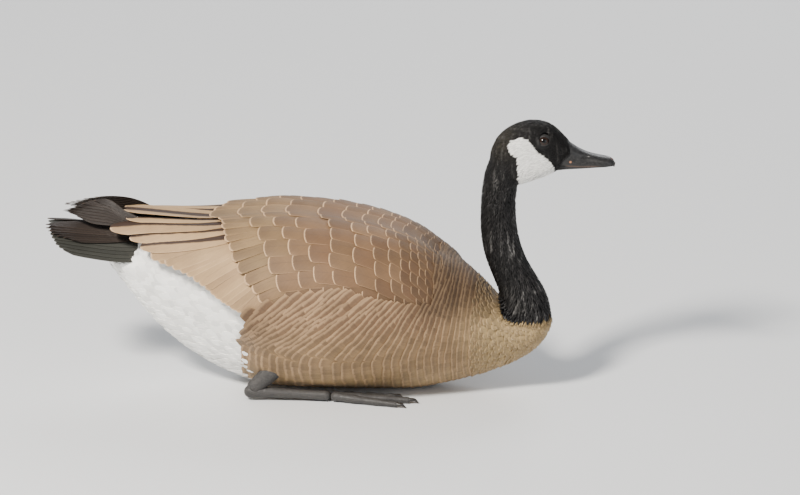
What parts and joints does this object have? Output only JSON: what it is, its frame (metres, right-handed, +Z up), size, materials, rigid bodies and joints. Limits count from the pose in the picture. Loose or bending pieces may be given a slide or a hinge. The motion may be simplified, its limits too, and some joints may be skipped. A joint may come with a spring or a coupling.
{
  "type": "canada goose",
  "caption": "Life-size still model of a Canada goose resting on its belly, neck raised, wings folded and feet tucked under, for display on a floor or shelf.",
  "frame": {"origin": "on the floor, in the middle of the flat of the belly", "axes": "+X towards the bill, +Y towards the left wing, +Z up"},
  "size_m": [0.5995, 0.2094, 0.2975],
  "materials": {
    "feather_brown": "matt brown feathers with pale edges",
    "feather_tan": "matt tan breast feathers",
    "feather_white": "matt white feathers",
    "feather_black": "black feathers with a slight sheen",
    "bill_black": "satin black horn",
    "eye_brown": "glossy dark brown eye",
    "leg_grey": "dark scaly skin"
  },
  "bodies": {
    "root": {"rump": "feather_white", "torso": "feather_brown", "breast": "feather_tan", "neck_lower": "feather_black", "neck_upper": "feather_black", "head": "feather_black", "bill_upper": "bill_black", "bill_lower": "bill_black", "eye_left": "eye_brown", "eye_right": "eye_brown", "wing_left": "feather_brown", "wing_right": "feather_brown", "primaries_left": "feather_black", "primaries_right": "feather_black", "tail": "feather_black", "leg_left": "leg_grey", "leg_right": "leg_grey", "foot_left": "leg_grey", "foot_right": "leg_grey"}
  },
  "joints": []
}
